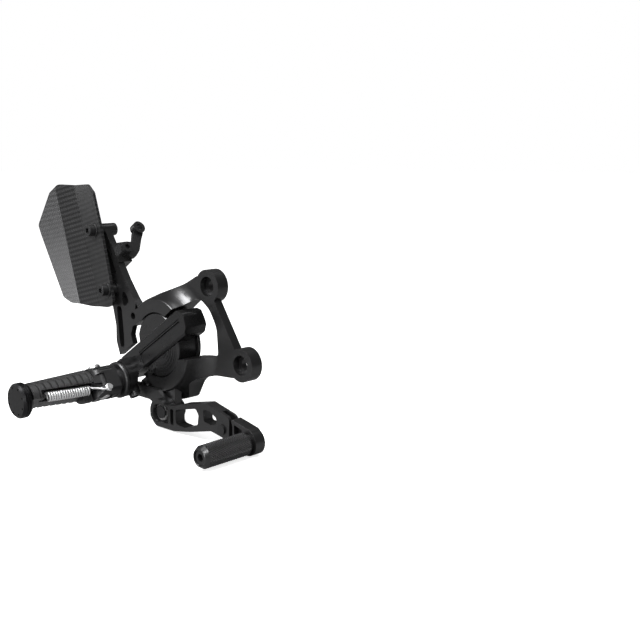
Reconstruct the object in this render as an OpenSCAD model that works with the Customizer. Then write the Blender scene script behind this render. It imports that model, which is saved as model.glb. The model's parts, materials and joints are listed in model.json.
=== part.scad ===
// Adjustable rear set with folding footrest, brake pedal and heel guard, right-hand side.
// X forward, Z up, the rider stands on the -Y side. The origin is midway between the two
// frame bolts on the face that meets the motorcycle frame.

/* [Base plate] */
// Distance between the two frame bolts
bolt_spacing = 64; // [52:1:76]
// Lean of the bolt line from vertical, lower bolt forward
plate_lean = 33; // [25:1:40]
// Radius of the two frame eyes
eye_r = 12.3; // [11:0.1:14]
// Thickness of the frame eyes
eye_t = 10; // [8:0.5:12]
// Radius of the frame bolt holes
bolt_hole_r = 4.25; // [3:0.05:5.3]
// Radius of the counterbores for the bolt heads
counterbore_r = 7.25; // [6.5:0.05:8.5]
// Depth of the counterbores
counterbore_d = 5.5; // [4:0.1:6.5]
// Horizontal distance from the bolt line back to the disc
disc_back = 59; // [57:0.5:62]
// Height of the disc over the middle of the bolt line
disc_up = 14.5; // [13:0.5:16]
// Outer radius of the ring that holds the disc
ring_r = 35.5; // [34:0.5:37]
// Distance from the frame face to the front of the ring
ring_out = 26; // [25:0.5:28]

/* [Adjuster] */
// Radius of the adjuster disc
disc_r = 24.7; // [23:0.1:26]
// Height of the sliding bar
bar_h = 19.5; // [17:0.5:21]
// Depth of the sliding bar
bar_d = 20; // [18:0.5:21]
// Length of the sliding bar
bar_l = 93; // [88:1:98]
// How far the bar stands proud of the ring
bar_proud = 2; // [1:0.5:4]

/* [Footrest] */
// Length of the ribbed barrel
barrel_l = 49; // [42:1:60]
// Barrel radius beside the knuckle
barrel_r_in = 12.4; // [11.5:0.1:13]
// Barrel radius beside the end cap
barrel_r_out = 10.9; // [10:0.1:12]
// Number of turned grooves
groove_count = 9; // [5:1:10]
// Radius of the end cap
cap_r = 12.5; // [11.8:0.1:14]
// Thickness of the end cap
cap_t = 8; // [6:0.5:12]
// Radius of the hinge pin
hinge_r = 4; // [3:0.1:4.5]

/* [Heel guard] */
// Distance between the two guard screws
guard_pitch = 48; // [44:1:52]
// Thickness of the guard plate
guard_t = 2.4; // [1.6:0.1:3]
// Fold between neighbouring facets
guard_fold = 17; // [8:1:24]

/* [Brake pedal] */
// Distance from the pivot to the toe peg
pedal_l = 97; // [92:1:105]
// Thickness of the pedal arm
pedal_t = 8.6; // [6:0.2:10]
// Radius of the pivot hub
hub_r = 10.3; // [9.8:0.1:11]
// Radius of the pivot shaft
pivot_r = 5; // [4:0.1:5.5]
// Length of the toe peg
toe_l = 42; // [36:1:56]
// Radius of the toe peg
toe_r = 8; // [6.5:0.1:9]

/* [Hidden] */
$fn = 72;

// Clearances
run_gap = 0.03;
seat_gap = 0.3;
nudge = 0.01;

// Colours
black = [0.07, 0.07, 0.075];
graphite = [0.13, 0.13, 0.14];
steel = [0.72, 0.73, 0.75];
weave = [0.1, 0.1, 0.11];
bronze = [0.55, 0.42, 0.22];

// Places in the plate's own frame, where the bolt line is vertical
eye_up = bolt_spacing / 2;
disc_x = -disc_back;
disc_z = disc_up;
plate_back = -3;
arm_out = eye_t;
bore_r = disc_r + seat_gap;
bar_front = -(ring_out + bar_proud);
bar_back = bar_front + bar_d;
bar_mid_z = disc_z + 1.25;
bar_top = bar_mid_z + bar_h / 2;
bar_low = bar_mid_z - bar_h / 2;
bar_nose = -15;
bar_tail = bar_nose - bar_l;
slot_gap = 3;
bar_mid_back = bar_front + 15;
web_front = bar_back + seat_gap;
bar_travel = 4;
flange_r = disc_r + 2.2;
flange_back = -5.4;
flange_bolt_r = disc_r - 4.7;
bar_bolt_x = disc_r / 2;

// Footrest places
peg_x = bar_tail + 14;
peg_z = bar_low - 1.5;
boss_r = 13;
boss_end = bar_front - 16;
collar_t = 3.4;
fork_shank_r = 7;
fork_r = 12.6;
fork_start = boss_end - collar_t - 3.4;
pin_y = fork_start - 11;
ear_end_r = 10;
tongue_half = 4.8;
tongue_gap = 0.3;
barrel_start = pin_y - 11.2;
barrel_end = barrel_start - barrel_l;
spring_r = 3.9;
spring_wire = 0.7;
spring_x = 6.4;
spring_z_in = -5.0;
spring_z_out = -3.2;
spring_start = barrel_start - 4;
spring_end = barrel_end + 12;
post_y = pin_y - 1.5;
cross_y = spring_end - 3.4;

// Guard and rear arm places
guard_low = [disc_x - 24, disc_z + 60.2];
guard_tilt = 15.6;
guard_high = guard_low + guard_pitch * [sin(guard_tilt), cos(guard_tilt)];
spacer_t = 4.5;
guard_back = -ring_out - spacer_t;
arm_back = -20;

// Brake pedal places, in the leaned frame
hub_plate = [disc_x - 18.4, disc_z - ring_r - 11];
lean_c = cos(plate_lean);
lean_s = sin(plate_lean);
function lean_xz(p) = [p[0] * lean_c - p[1] * lean_s, p[0] * lean_s + p[1] * lean_c];
hub = lean_xz(hub_plate);
hub_in = -24.6;
lug_back = -18;
pedal_front = -34;
pedal_back = pedal_front + pedal_t;
toe_y_out = pedal_front - toe_l;

// Shape helpers
function unit2(v) = v / norm(v);
function corner(a, b, c, r, n = 5) =
    let (u = unit2(a - b), v = unit2(c - b), half = acos(u * v) / 2, t = r / tan(half))
    let (m = b + unit2(u + v) * r / sin(half), s = b + u * t, e = b + v * t)
    let (a0 = atan2(s[1] - m[1], s[0] - m[0]), a1 = atan2(e[1] - m[1], e[0] - m[0]))
    let (d = (a1 - a0 + 540) % 360 - 180)
    [for (i = [0 : n]) m + r * [cos(a0 + d * i / n), sin(a0 + d * i / n)]];
function flat(p) = [p[0], p[1]];
function rounded(pts) =
    let (n = len(pts))
    [for (i = [0 : n - 1])
        each (pts[i][2] > 0
            ? corner(flat(pts[(i + n - 1) % n]), flat(pts[i]), flat(pts[(i + 1) % n]), pts[i][2])
            : [flat(pts[i])])];

module smooth(pts) polygon(rounded(pts));
module slab(y_out, y_in) translate([0, y_in, 0]) rotate([90, 0, 0]) linear_extrude(y_in - y_out) children();
module y_rod(r, y_out, y_in) translate([0, y_in, 0]) rotate([90, 0, 0]) cylinder(r = r, h = y_in - y_out);
module z_rod(r, z_low, z_high) translate([0, 0, z_low]) cylinder(r = r, h = z_high - z_low);
module y_lathe(profile) rotate([90, 0, 0]) rotate_extrude() polygon(profile);
module at(x, z) translate([x, 0, z]) children();
module leaned() rotate([0, -plate_lean, 0]) children();
module hex(across) circle(r = across / sqrt(3), $fn = 6);

// Socket head screw along Y, head outward, under-head face at y = 0
module cap_screw(r, l, head_r, head_h, key, socket_d) {
    difference() {
        union() {
            y_rod(r, -nudge, l);
            y_rod(head_r, -head_h, 0);
        }
        slab(-head_h - 1, -head_h + socket_d) hex(key);
    }
}

// Base plate outlines, x forward and z up from the middle of the bolt line
module web_outline() {
    smooth([[-84, 44, 4], [-66, 50, 3], [disc_x + 18, disc_z + ring_r - 1.2, 24], [-22, 45.4, 14],
        [-6, eye_up + 11.8, 4],
            [1, eye_up + 8, 2], [1.2, -eye_up + 8, 2], [7, -eye_up + 4, 3],
            [2, -eye_up - 11.4, 3], [-10, -eye_up - 6, 8], [-28, disc_z - ring_r - 6.6, 30],
                [-47, disc_z - ring_r - 0.3, 16],
            [-64, -30, 6], [-84, -24, 6], [-104, -6, 3], [-103, 20, 3], [-96, 42, 5]]);
}
module window_outline() {
    smooth([[-36, bar_top + slot_gap, 0.6], [-12, 30, 8], [-7.2, 16, 20], [-7.6, 2, 20],
            [-18.5, -17.2, 4], [-33, -9.7, 2], [-44, -4.6, 0.6], [-50, 10, 1]]);
}
module rear_arm_outline() {
    smooth([[-61, 44, 2], [arm_edge + 0.6, 56, 20], [arm_edge - 1.2, 74, 20],
        [arm_edge - 1.2, guard_high[1] - 14, 6],
            [guard_high[0] + 4.6, guard_high[1] + 4, 4], [guard_high[0] - 6, guard_high[1] + 5, 4],
            [guard_high[0] - 7, guard_high[1] - 14, 20], [guard_low[0] - 8, guard_low[1] + 6, 12],
            [-93, 64, 12], [-98, 50, 10], [-105, 40, 10], [-108, bar_top + 1.5, 2],
            [-70, bar_top + 1.5, 2]]);
}

// Turned form of the plate about the disc axis: raised ring, hollow slope, flat arms
module ring_form() {
    at(disc_x, disc_z)
        y_lathe([[0, ring_out], [ring_r - 0.8, ring_out], [ring_r, ring_out - 0.8],
            [ring_r + 1.6, ring_out - 5],
                 [ring_r + 4.2, ring_out - 9], [ring_r + 7.6, ring_out - 12.4],
                     [ring_r + 12, ring_out - 14.8],
                 [ring_r + 15.5, arm_out], [120, arm_out], [120, -plate_back], [0, -plate_back]]);
}

module pivot_lug() {
    slab(hub_in + seat_gap, lug_back) {
        translate(hub_plate) circle(r = hub_r - 0.6);
        smooth([[disc_x - 1, hub_plate[1] + 12, 2], [hub_plate[0] + 9.6, hub_plate[1] + 1, 3],
                [hub_plate[0] - 2, hub_plate[1] - 8, 5], [hub_plate[0] - 10, hub_plate[1] + 3, 3],
                [-105, -5, 2], [-102.5, 2, 1], [-84, 2, 1]]);
    }
    slab(-22, -10) smooth([[-88, -16, 3], [-103.2, -4, 2], [-101.8, 2.6, 1], [-84.6, 2.6, 1],
        [-76, -13, 2]]);
}
// Space beside the disc that lets light through, under the end of the upper jaw
module jaw_gap() {
    slab(-ring_out - 1, 1)
        smooth([[-62, 38.4, 0.6], [-78.5, 39.8, 1.5], [-84.4, 35.6, 2], [-86.3, 28.5, 1],
            [-82, 26.4, 0.6], [-82, 18, 0], [-60, 18, 0]]);
    slab(-ring_out + 4.6, 1)
        smooth([[-62, 38.4, 0.6], [-80, 40.2, 1.2], [-96, 48, 3], [-120, 48, 1], [-120, 18, 0],
            [-60, 18, 0]]);
}
// Step that leaves a bright rim at the rear end of the lower jaw
module jaw_step() {
    slab(-ring_out - 1, -ring_out + 5.8)
        smooth([[-88.2, bar_low - slot_gap + 0.2, 0], [-76, -21.6, 0], [-90, -40, 1], [-120, -20, 1],
            [-120, bar_low - slot_gap + 0.2, 0]]);
}

module arm_pockets() {
    slab(-ring_out - 1, -ring_out + 4.2) {
        smooth([[-82, 60, 3], [-88, 62, 2], [-100.5, 39, 3], [-103, 31.5, 2], [-98, 31.5, 2], [-92, 41, 3]]);
        smooth([[-71, 58, 2], [-72, 70, 2], [-78, 64, 2], [-80, 56.5, 2]]);
        smooth([[-72.6, 82, 2], [-71.6, 106, 2], [-74.8, 106, 1], [-78.8, 86, 2]]);
    }
    slab(-ring_out - 1, -ring_out + 4)
        smooth([[-63.6, 48.6, 0.4], [-64.2, 53, 0.4], [-68, 49, 0.4]]);
    at(disc_x - 14.3, disc_z + 31.7) y_rod(2.75, -ring_out - 1, -ring_out + 8);
}

module base_plate() {
    color(black) leaned() difference() {
        union() {
            intersection() {
                slab(-ring_out - 1, plate_back) web_outline();
                ring_form();
            }
            at(disc_x, disc_z) y_rod(ring_r, -ring_out + 6, plate_back);
            slab(-ring_out, arm_back) rear_arm_outline();
            slab(-ring_out, -13) translate([arm_edge - 10.8, bracket_z - 9]) square([10.8, 17]);
            at(guard_high[0], guard_high[1]) y_rod(5, -ring_out - 0.5, -14);
            at(guard_low[0], guard_low[1]) y_rod(6, -ring_out - 0.5, -15);
            pivot_lug();
            for (s = [-1, 1]) at(0, s * eye_up) y_rod(eye_r, -eye_t, 0);
        }
        at(disc_x, disc_z) {
            y_rod(bore_r, -ring_out - 1, 1);
            y_rod(flange_r + seat_gap, bar_back, 1);
        }
        slab(-ring_out - 1, 1) window_outline();
        // Slot for the bar, open to the rider
        slab(-ring_out - 1, web_front)
            translate([-125, bar_low - slot_gap]) square([100, bar_h + 2 * slot_gap]);
        jaw_gap();
        jaw_step();
        arm_pockets();
        for (s = [-1, 1]) at(0, s * eye_up) {
            y_rod(bolt_hole_r, -eye_t - 1, 1);
            y_rod(counterbore_r, -eye_t - 1, -eye_t + counterbore_d);
        }
        // Pivot bolt, guard screws and bracket screw
        translate([hub_plate[0], 0, hub_plate[1]]) y_rod(pivot_r + run_gap, hub_in - 1, lug_back + 1);
        for (p = [guard_low, guard_high]) at(p[0], p[1]) y_rod(2.5 + run_gap, -ring_out - 2, -ring_out + 9.5);
        translate([0, bracket_y, bracket_z]) x_rod(2.5 + run_gap, arm_edge - 9, arm_edge + 10);
    }
}

// Slot that lets a bar screw move with the bar
module travel_slot(x, r) {
    translate([disc_x + x, bar_mid_z]) {
        for (s = [-1, 1]) translate([s * bar_travel, 0]) circle(r = r);
        square([2 * bar_travel, 2 * r], center = true);
    }
}

// Adjuster disc with the channel for the bar
module adjuster_disc() {
    disc_front = -ring_out + 0.4;
    color(black) leaned() difference() {
        at(disc_x, disc_z)
            y_lathe([[0, -disc_front], [disc_r - 1.2, -disc_front], [disc_r, -disc_front - 1.2],
                     [disc_r, -bar_back], [0, -bar_back]]);
        slab(-40, bar_mid_back + seat_gap / 10)
            translate([-125, bar_low - seat_gap / 10]) square([110, bar_h + 2 * seat_gap / 10]);
        // Flat that leaves a slit of light beside the ring
        slab(-40, 1) translate([disc_x - disc_r - 5, bar_top + 0.5]) rotate(-24) square([10, 30]);
        // Screws from behind into the flange and into the bar
        for (x = [-bar_bolt_x, bar_bolt_x]) {
            slab(bar_mid_back - 1, 1) travel_slot(x, 3 + seat_gap);
            slab(bar_back - 0.6, 1) travel_slot(x, 5.4);
        }
        for (a = [60, 120, 240, 300]) translate([disc_x + flange_bolt_r * cos(a), 0, disc_z + flange_bolt_r * sin(a)])
            y_rod(2 + run_gap, bar_back - 8.6, 1);
        // Lock screw
        at(lock_x, lock_z) y_rod(2 + run_gap, -40, -11);
        // Fine turned rings on the lower face
        intersection() {
            slab(-40, 1) translate([-100, -20]) square([80, bar_low + 20]);
            for (r = [11 : 2.4 : disc_r - 2]) at(disc_x, disc_z)
                y_lathe([[r, -disc_front + 1], [r, -disc_front - 0.3],
                         [r + 0.5, -disc_front - 0.3], [r + 0.5, -disc_front + 1]]);
        }
    }
}
lock_x = disc_x - disc_r * 0.664;
lock_z = disc_z - disc_r * 0.55;

module disc_flange() {
    color(graphite) leaned() difference() {
        at(disc_x, disc_z) y_lathe([[5, -flange_back], [flange_r - 0.4, -flange_back],
            [flange_r, -flange_back + 0.4],
                                    [flange_r, -bar_back], [5, -bar_back]]);
        for (x = [-bar_bolt_x, bar_bolt_x]) slab(bar_back - 1, 1) travel_slot(x, 5.7);
        for (a = [60, 120, 240, 300]) translate([disc_x + flange_bolt_r * cos(a), 0, disc_z + flange_bolt_r * sin(a)]) {
            y_rod(2 + run_gap, bar_back - 1, 1);
            y_rod(3.7, flange_back - 1.5, 1);
        }
    }
}

module disc_flange_screws() {
    color(graphite) leaned() for (a = [60, 120, 240, 300])
        translate([disc_x + flange_bolt_r * cos(a), flange_back - 1.5, disc_z + flange_bolt_r * sin(a)]) mirror([0, 1, 0]) difference() {
            union() {
                y_rod(2, -nudge, 9);
                y_rod(3.4, -1.5, 0);
            }
            slab(-2, -0.5) hex(2.5);
        }
}

module disc_lock_screw() {
    color(graphite) leaned() translate([lock_x, -ring_out + 0.4, lock_z]) difference() {
        y_rod(2, -3.4, 12);
        slab(-4, -1.8) hex(2);
    }
}
module disc_lock_nut() {
    color(steel) leaned() translate([lock_x, -ring_out + 0.4, lock_z]) difference() {
        slab(-2.2, 0) hex(6);
        y_rod(2 + run_gap, -3, 1);
    }
}

// Sliding bar with the boss that carries the footrest
module bar_side() {
    smooth([[bar_nose, bar_top - 6, 4], [bar_nose - 6.5, bar_top, 3], [bar_tail, bar_top, 5],
            [bar_tail, bar_low, 5], [bar_nose - 8, bar_low, 3], [bar_nose - 3, bar_low + 4, 3]]);
}
module bar_top_view() {
    nose_in = disc_x + disc_r + bar_travel + 0.9;
    tail_in = disc_x - disc_r - bar_travel - 0.9;
    smooth([[bar_nose, bar_front, 1.2], [bar_nose, bar_back - seat_gap, 3.5],
        [nose_in, bar_back - seat_gap, 1], [nose_in, bar_mid_back, 0.5],
            [tail_in, bar_mid_back, 0.5], [tail_in, bar_back - seat_gap, 1],
                [bar_tail, bar_back - seat_gap, 4], [bar_tail, bar_front, 3]]);
}
module boss_side() {
    polygon([[bar_front + 2, bar_top - 5], [bar_front + 2, bar_low], [bar_front - 3, bar_low - 0.3],
             [bar_front - 5.6, bar_low - 1.4], [bar_front - 9, bar_low - 8.4], [boss_end + 4, peg_z - boss_r],
             [boss_end, peg_z - boss_r], [boss_end, peg_z + boss_r], [bar_front, peg_z + boss_r]]);
}
module bar_cut() {
    // Long recess, groove line and the milled lower edge of the rider face
    slab(bar_front - 1, bar_front + 1.1)
        smooth([[bar_nose - 6.5, bar_mid_z + 1.6, 1.5], [bar_tail + 27, bar_mid_z + 1.6, 1],
                [bar_tail + 27, bar_low + 2.6, 1], [bar_nose - 9, bar_low + 2.6, 3]]);
    slab(bar_front - 1, bar_front + 0.7)
        translate([bar_tail + 27, bar_mid_z + 2.4]) square([bar_l - 34, 0.7]);
    translate([bar_nose - bar_l / 2, bar_front, bar_low]) rotate([45, 0, 0])
        cube([bar_l + 2, 2, 2], center = true);
    translate([bar_nose - bar_l / 2, bar_front, bar_top]) rotate([45, 0, 0])
        cube([bar_l + 2, 1.6, 1.6], center = true);
}
module carrier_bar() {
    color(black) leaned() difference() {
        union() {
            difference() {
                intersection() {
                    slab(bar_front, bar_back) bar_side();
                    linear_extrude(80, center = true) bar_top_view();
                }
                bar_cut();
            }
            intersection() {
                translate([peg_x - boss_r - 1, 0, 0]) rotate([90, 0, 90]) linear_extrude(2 * boss_r + 2) boss_side();
                slab(-60, -10) {
                    translate([peg_x, peg_z]) circle(r = boss_r);
                    translate([peg_x - 10, peg_z - 6]) square([20, boss_r + 6]);
                }
            }
            at(peg_x, peg_z) y_rod(boss_r + 0.6, boss_end, boss_end + 2.8);
            translate([peg_x, set_y, 0]) z_rod(4.9, peg_z - boss_r, peg_z);
        }
        // Socket for the fork shank with its clamp slit and screw
        at(peg_x, peg_z) y_rod(fork_shank_r + run_gap, boss_end - 1, boss_end + 12.3);
        translate([peg_x, set_y, peg_z]) z_rod(2.5 + run_gap, -30, 0);
        for (x = [-bar_bolt_x, bar_bolt_x]) at(disc_x + x, bar_mid_z) y_rod(3 + run_gap, bar_mid_back - 11, bar_mid_back + 1);
    }
}
set_y = boss_end + 7.8;

module bar_screws() {
    color(graphite) leaned() for (x = [-bar_bolt_x, bar_bolt_x])
        translate([disc_x + x, bar_back - 0.6, bar_mid_z]) mirror([0, 1, 0])
            cap_screw(3, 14, 5, 3, 4, 2);
}

module fork_set_screw() {
    color(graphite) leaned() translate([peg_x, set_y, peg_z]) difference() {
        union() {
            z_rod(2.5, -boss_r - nudge, -fork_shank_r + 0.6);
            z_rod(4.2, -boss_r - 2.7, -boss_r);
        }
        translate([0, 0, -boss_r - 3]) linear_extrude(2) hex(4);
    }
}

// Fork that carries the folding footrest
module ear_outline() {
    translate([peg_x, pin_y]) circle(r = ear_end_r);
    translate([peg_x - ear_end_r, pin_y]) square([2 * ear_end_r, fork_start - pin_y]);
}
module peg_fork() {
    color(graphite) leaned() difference() {
        union() {
            at(peg_x, peg_z) {
                y_rod(fork_shank_r, boss_end - nudge, boss_end + 12);
                y_lathe([[0, -boss_end], [boss_r + 0.2, -boss_end], [boss_r + 0.9, -boss_end + 0.8],
                         [boss_r + 0.9, -boss_end + collar_t - 0.8], [boss_r, -boss_end + collar_t],
                         [9.4, -boss_end + collar_t], [9.4, -fork_start + 0.5], [0, -fork_start + 0.5]]);
            }
            intersection() {
                at(peg_x, peg_z) y_rod(fork_r, pin_y - 14, fork_start);
                linear_extrude(80, center = true) ear_outline();
            }
        }
        // Slot for the tongue
        intersection() {
            translate([peg_x - 20, pin_y - 20, peg_z - tongue_half - tongue_gap])
                cube([40, 29, 2 * (tongue_half + tongue_gap)]);
            union() {
                translate([peg_x, pin_y, 0]) z_rod(9.3, -60, 60);
                translate([peg_x - 20, pin_y - 20, -60]) cube([40, 20, 120]);
                translate([peg_x - 20, pin_y - 20, -60]) cube([20, 29, 120]);
            }
        }
        // Flats for the pin head and the clip
        translate([peg_x - 20, pin_y - 20, peg_z + fork_r - 0.6]) cube([40, 29, 4]);
        translate([peg_x - 20, pin_y - 20, peg_z - fork_r - 3.4]) cube([40, 29, 4]);
        translate([peg_x, pin_y, 0]) {
            z_rod(hinge_r + run_gap, -60, 60);
            z_rod(hinge_r + 1.8, -60, peg_z - fork_r + 3.4);
        }
        // Flutes along the upper front of the fork
        for (a = [22, 34, 46, 58]) translate([peg_x + (fork_r + 0.3) * cos(a), 0, peg_z + (fork_r + 0.3) * sin(a)])
            y_rod(1.05, pin_y - 12, fork_start - 3);
        translate([peg_x + 8, post_y, peg_z - 7.6]) rotate([0, 90, 0]) cylinder(r = 1.5 + run_gap, h = 20, center = true);
        translate([peg_x, set_y, peg_z]) z_rod(2.7, -fork_shank_r - 2, -fork_shank_r + 0.7);
    }
}

module hinge_pin() {
    color(steel) leaned() translate([peg_x, pin_y, peg_z]) difference() {
        union() {
            z_rod(hinge_r, -fork_r + 1.4, fork_r - 0.6 + nudge);
            z_rod(4.8, fork_r - 0.6, fork_r + 1.2);
            z_rod(4.2, fork_r + 1.1, fork_r + 1.8);
        }
        translate([0, 0, -fork_r + 2.6]) rotate_extrude() translate([hinge_r - 0.6, 0]) square([2, 0.8]);
    }
}
module hinge_clip() {
    color(steel) leaned() translate([peg_x, pin_y, peg_z - fork_r + 2.65]) difference() {
        z_rod(hinge_r + 1.4, 0, 0.7);
        z_rod(hinge_r - 0.55, -1, 2);
        translate([0, -1.6, -1]) cube([10, 3.2, 3]);
    }
}

// Footrest barrel: tongue, turned grooves, flat underside and the spring pocket
function barrel_r(t) = barrel_r_in + (barrel_r_out - barrel_r_in) * t;
module barrel_body() {
    pitch = (barrel_l - 4) / groove_count;
    at(0, 0) y_lathe(concat([[0, 0]], [[barrel_r_in - 1, 0], [barrel_r_in, 1]],
        [for (i = [0 : groove_count - 1]) let (h = 3 + i * pitch, r = barrel_r(h / barrel_l))
            each [[r, h], [r - 1.1, h + 0.5], [r - 1.1, h + 1.3], [r, h + 1.8]]],
        [[barrel_r_out, barrel_l], [0, barrel_l]]));
}
module spring_line_cut(r, grow) {
    slope = atan2(spring_z_out - spring_z_in, spring_start - spring_end);
    translate([spring_x, spring_start + grow, spring_z_in]) rotate([-slope, 0, 0])
        y_rod(r, -(spring_start - spring_end) - 2 * grow - 6, 0);
}
module peg_barrel() {
    color(black) leaned() translate([peg_x, 0, peg_z]) difference() {
        union() {
            translate([0, barrel_start, 0]) barrel_body();
            translate([0, 0, -tongue_half]) linear_extrude(2 * tongue_half) {
                translate([0, pin_y]) circle(r = 8.6);
                translate([-8, barrel_start - 4]) square([16, pin_y - barrel_start + 4]);
            }
            translate([0, barrel_end, 0]) y_rod(5, -5, 1);
        }
        translate([0, pin_y, 0]) z_rod(hinge_r + run_gap, -20, 20);
        // Flat underside that rises towards the end cap
        translate([0, barrel_start - 8, -7.2]) rotate([-4.2, 0, 0]) translate([-20, -80, -20]) cube([40, 81, 20]);
        // Open pocket for the tension spring along the lower front
        intersection() {
            translate([spring_x - spring_r - 0.7, spring_end - 5.5, -20]) cube([30, barrel_l + 20 - 11.5, 22]);
            union() {
                spring_line_cut(spring_r + 0.7, 3);
                slope = atan2(spring_z_out - spring_z_in, spring_start - spring_end);
                translate([spring_x, spring_start + 4, spring_z_in]) rotate([-slope, 0, 0])
                    translate([0, -70, -20]) cube([20, 78, 20 + spring_r - 0.2]);
                translate([spring_x - spring_r - 0.7, spring_end - 5.5, -20]) cube([30, 90, 20 + spring_z_in]);
            }
        }
        translate([0, cross_y, spring_z_out]) rotate([0, 90, 0]) cylinder(r = 1.25 + run_gap, h = 30, center = true);
    }
}

module end_cap() {
    color(black) leaned() translate([peg_x, barrel_end - seat_gap / 3, peg_z]) difference() {
        y_lathe([[5 + run_gap, -0], [cap_r - 2.4, 0], [cap_r, 2.4], [cap_r, cap_t - 1.4],
            [cap_r - 1.4, cap_t],
                 [0, cap_t], [0, 5.4], [5 + run_gap, 5.4]]);
        for (i = [0 : 7]) rotate([0, i * 45 + 12, 0]) translate([cap_r - 3, 0, 0]) y_rod(0.7, -cap_t - 1, -cap_t + 1.2);
        for (y = [3.4, 5.0]) y_lathe([[cap_r - 0.5, y], [cap_r + 1, y], [cap_r + 1, y + 0.5],
            [cap_r - 0.5, y + 0.5]]);
    }
}

// Tension spring with a hook at each end, swept as one wire
spring_turns = 17;
spring_slope_z = (spring_z_out - spring_z_in) / (spring_start - spring_end);
function spring_axis(y) = [spring_x, y, spring_z_in + (spring_start - y) * spring_slope_z];
function coil_path() = [for (i = [0 : spring_turns * 8])
    let (a = i * 45 + 90, y = spring_start - (spring_start - spring_end) * i / (spring_turns * 8))
    spring_axis(y) + (spring_r - spring_wire) * [cos(a), 0, sin(a)]];
function hook_in() = [[peg_hook_x, post_y - 2.6, -7.6], [peg_hook_x, post_y - 4, -7.4],
    [spring_x + 2.6, post_y - 7, -6.2], [spring_x + 1.4, spring_start + 3, -5.2],
        [spring_x + 0.6, spring_start + 1, -3]];
function hook_out() = [[spring_x + 0.4, spring_end - 0.6, -0.8], [spring_x + 0.2, spring_end - 1, -2],
    [spring_x, spring_end - 1.2, -2.8]];
peg_hook_x = 12.4;
module wire(path, r, n = 5) {
    m = len(path);
    rings = [for (i = [0 : m - 1])
        let (t = unit3(path[min(i + 1, m - 1)] - path[max(i - 1, 0)]), s = unit3(cross(t, [0.13, 0.21, 0.97])))
        let (q = cross(s, t))
        for (k = [0 : n - 1]) path[i] + r * (cos(360 * k / n) * s + sin(360 * k / n) * q)];
    polyhedron(points = rings, faces = concat(
        [[for (k = [0 : n - 1]) k]], [[for (k = [n - 1 : -1 : 0]) (m - 1) * n + k]],
        [for (i = [0 : m - 2], k = [0 : n - 1])
            [i * n + k, (i + 1) * n + k, (i + 1) * n + (k + 1) % n, i * n + (k + 1) % n]]), convexity = 10);
}
function unit3(v) = v / norm(v);
module return_spring() {
    color(steel) leaned() translate([peg_x, 0, peg_z]) wire(concat(hook_in(), coil_path(), hook_out()), spring_wire);
}
module spring_post() {
    color(steel) leaned() translate([peg_x, post_y, peg_z - 7.6]) rotate([0, 90, 0]) {
        translate([0, 0, 4]) cylinder(r = 1.5, h = 9.2);
        translate([0, 0, 13.2 - nudge]) cylinder(r = 2.1, h = 0.7);
    }
}
module spring_cross_pin() {
    color(graphite) leaned() translate([peg_x, cross_y, peg_z + spring_z_out]) rotate([0, 90, 0])
        translate([0, 0, -4]) cylinder(r = 1.25, h = 14);
}

// Heel guard: three flat facets folded outward from the arm
guard_edge = -14;
facet_w = [19.5, 32];
module facet_strip(w, fold) {
    rotate([0, 0, 180 + fold]) translate([0, -guard_t / 2, -40]) cube([w, guard_t, 140]);
    translate([0, 0, -40]) cylinder(r = guard_t / 2, h = 140);
}
module heel_guard() {
    color(weave) leaned() translate([guard_low[0], guard_back, guard_low[1]]) rotate([0, guard_tilt, 0]) difference() {
        intersection() {
            rotate([90, 0, 0]) linear_extrude(80, center = true)
                smooth([[4.4, -12.4, 4], [7, 8, 40], [9.3, 52, 60], [9.2, 76, 4], [4, 84, 5],
                    [-14, 88.5, 30], [-30, 94, 6],
                        [-37, 89, 3], [-49.4, 66, 6], [-48.8, 58, 8], [-42.6, 4.5, 5], [-38, -1.5, 5],
                            [-20, -9, 30], [-4, -13, 4]]);
            union() {
                translate([guard_edge, 0, -40]) mirror([0, 1, 0]) cube([30, guard_t, 140]);
                translate([guard_edge, -guard_t / 2, 0]) facet_strip(facet_w[0], guard_fold);
                translate([guard_edge - facet_w[0] * cos(guard_fold), -guard_t / 2 - facet_w[0] * sin(guard_fold), 0])
                    facet_strip(facet_w[1], 2 * guard_fold);
            }
        }
        for (z = [0, guard_pitch]) at(0, z) y_rod(2.75, -10, 10);
    }
}
module guard_screws() {
    color(graphite) leaned() for (p = [guard_low, guard_high])
        translate([p[0], guard_back - guard_t - 1, p[1]]) cap_screw(2.5, 15, 4.25, 5, 4, 2.6);
}
module guard_spacers() {
    color(black) leaned() for (p = [guard_low, guard_high]) at(p[0], p[1]) {
        difference() {
            y_rod(5, guard_back + nudge, -ring_out - 0.5 - nudge);
            y_rod(2.5 + 0.2, -60, 0);
        }
        difference() {
            y_rod(5.6, guard_back - guard_t - 1, guard_back - guard_t);
            y_rod(2.5 + 0.2, -60, 0);
        }
    }
}

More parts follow.
